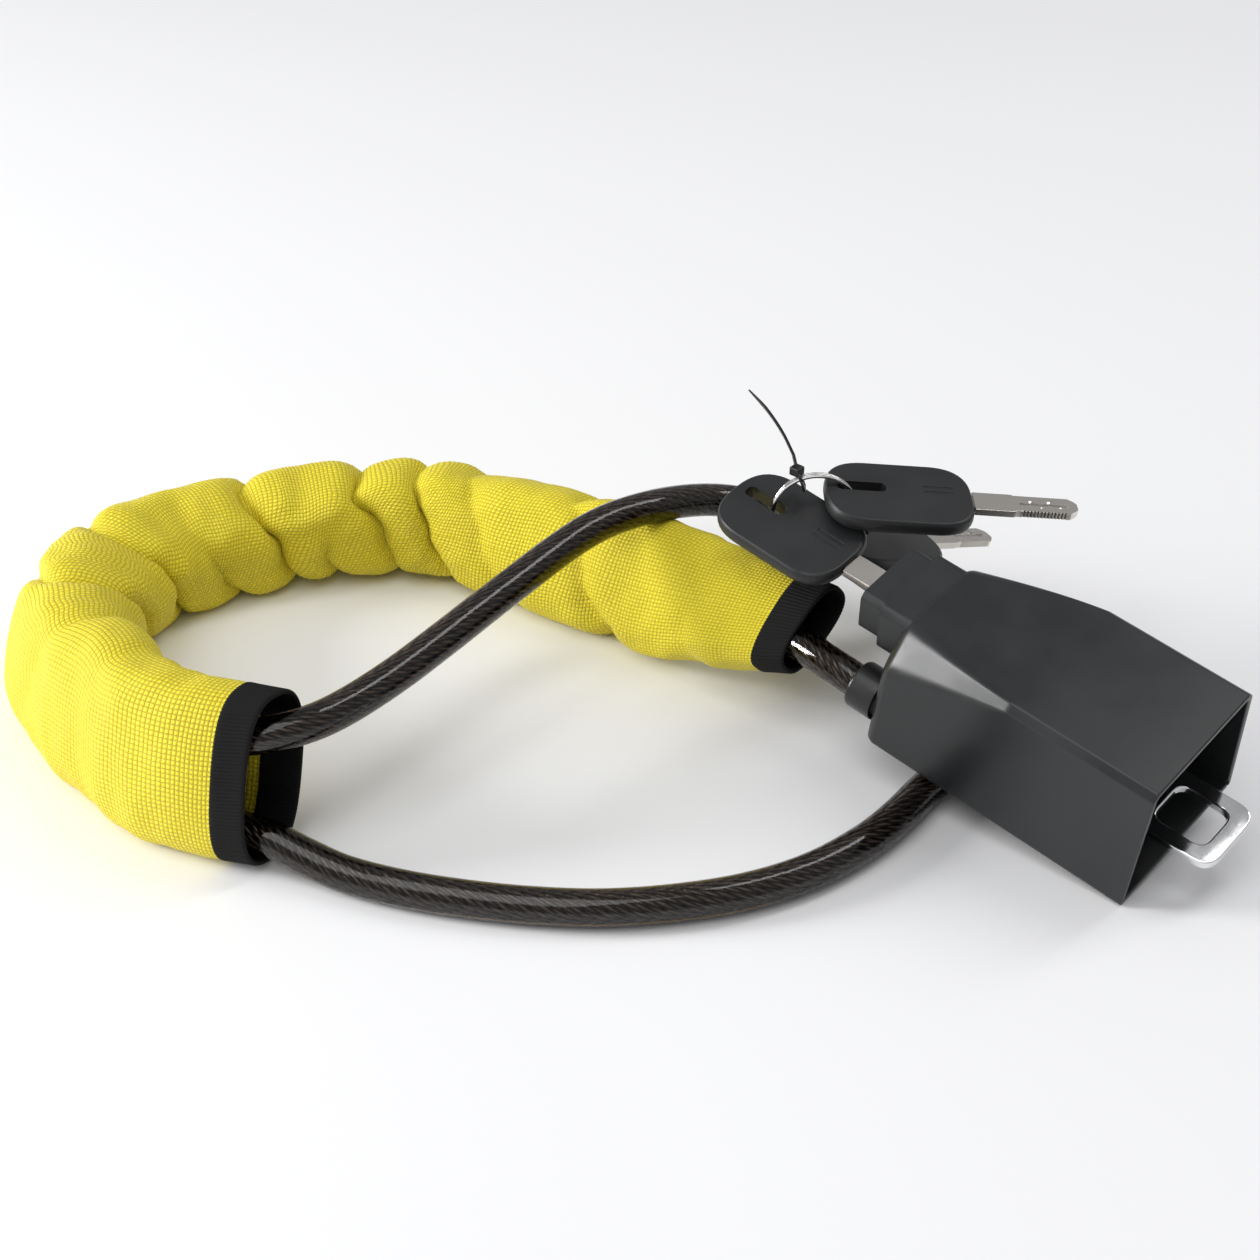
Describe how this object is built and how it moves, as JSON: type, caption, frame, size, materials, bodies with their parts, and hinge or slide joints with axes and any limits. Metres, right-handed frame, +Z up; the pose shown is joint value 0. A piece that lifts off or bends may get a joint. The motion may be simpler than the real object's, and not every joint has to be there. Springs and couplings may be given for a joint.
{
  "type": "seat-belt buckle cable lock",
  "caption": "Anti-theft cable lock: a keyed shroud with a buckle tongue, a jacketed steel cable loop, a fabric sleeve and keys on a ring.",
  "frame": {"origin": "centre of the bounding box of everything except the cable and its sleeve, on the surface that the lock lies on", "axes": "+X the shroud's heading towards its open mouth, seen from above; +Y to the side where the loose keys lie; +Z up"},
  "size_m": [0.3344, 0.2465, 0.0902],
  "materials": {
    "shroud_plastic": "satin black moulding",
    "push_block_black": "satin black moulding",
    "gland_black": "black rubber bush",
    "chassis_zinc": "die-cast grey metal",
    "crimp_zinc": "pressed crimp, dull",
    "tongue_steel": "polished plate",
    "fastener_steel": "plain steel",
    "rope_steel": "stranded steel, oiled dark",
    "jacket_pvc": "clear smoke-coloured skin over the rope, glossy",
    "sleeve_yellow": "bright yellow plain weave",
    "binding_black": "black ribbed tape",
    "mechanism_steel": "plain steel",
    "shoe_black": "black",
    "spring_steel": "bright wire",
    "barrel_brass": "turned brass",
    "plug_nickel": "nickel plated, satin",
    "key_nickel": "warm nickel plate, satin",
    "key_plastic": "satin black moulding",
    "ring_nickel": "bright nickel plate",
    "tie_nylon": "black nylon"
  },
  "bodies": {
    "housing": {"shroud": "shroud_plastic", "chassis_screw_1": "fastener_steel", "chassis_screw_2": "fastener_steel", "chassis_screw_3": "fastener_steel", "tongue_rivet_1": "fastener_steel", "tongue_rivet_2": "fastener_steel", "chassis": "chassis_zinc", "tongue": "tongue_steel", "cable_gland": "gland_black", "cable_core": "rope_steel", "cable_jacket": "jacket_pvc", "cable_end_stop": "crimp_zinc", "loop_ferrule": "crimp_zinc", "sleeve": "sleeve_yellow", "sleeve_binding_open_end": "binding_black", "sleeve_binding_lock_end": "binding_black", "return_spring": "spring_steel"},
    "push_block": {"push_block": "push_block_black", "pusher_rod": "mechanism_steel", "pusher_shoe": "shoe_black", "lock_barrel": "barrel_brass"},
    "lock_plug": {"lock_plug": "plug_nickel", "lock_cam": "mechanism_steel", "cam_screw": "mechanism_steel"},
    "key_in_lock": {"key_1_bow": "key_plastic", "key_1_blade": "key_nickel"},
    "key_ring": {"key_ring": "ring_nickel"},
    "upper_key": {"key_2_bow": "key_plastic", "key_2_blade": "key_nickel"},
    "lower_key": {"key_3_bow": "key_plastic", "key_3_blade": "key_nickel"},
    "cable_tie": {"cable_tie": "tie_nylon"}
  },
  "joints": [
    {"name": "push_slide", "type": "slide", "parent": "housing", "child": "push_block", "axis": [0.9865, 0, -0.164], "range_m": [0, 0.006], "stiffness_N_per_m": 250, "springref_m": -0.004, "deforming": ["return_spring"]},
    {"name": "plug_turn", "type": "hinge", "parent": "push_block", "child": "lock_plug", "pos_m": [-0.02732, -0.02583, 0.05013], "axis": [0.9865, 0, -0.164], "range_deg": [0, 40]},
    {"name": "key_withdrawal", "type": "slide", "parent": "lock_plug", "child": "key_in_lock", "axis": [-0.9865, 0, 0.164], "range_m": [0, 0.02]},
    {"name": "ring_swing", "type": "hinge", "parent": "key_in_lock", "child": "key_ring", "pos_m": [-0.06871, -0.02363, 0.05786], "axis": [0, 0, 1], "range_deg": [-8, 30]},
    {"name": "upper_key_swing", "type": "hinge", "parent": "key_ring", "child": "upper_key", "pos_m": [-0.0602, -0.0153, 0.0564], "axis": [0.6997, -0.7145, 0], "range_deg": [0, 20]},
    {"name": "lower_key_swing", "type": "hinge", "parent": "key_ring", "child": "lower_key", "pos_m": [-0.0602, -0.0153, 0.0564], "axis": [0.6997, -0.7145, 0], "range_deg": [-6, 6]},
    {"name": "tie_swing", "type": "hinge", "parent": "key_ring", "child": "cable_tie", "pos_m": [-0.0602, -0.0153, 0.0564], "axis": [0.6997, -0.7145, 0], "range_deg": [-8, 12]}
  ]
}
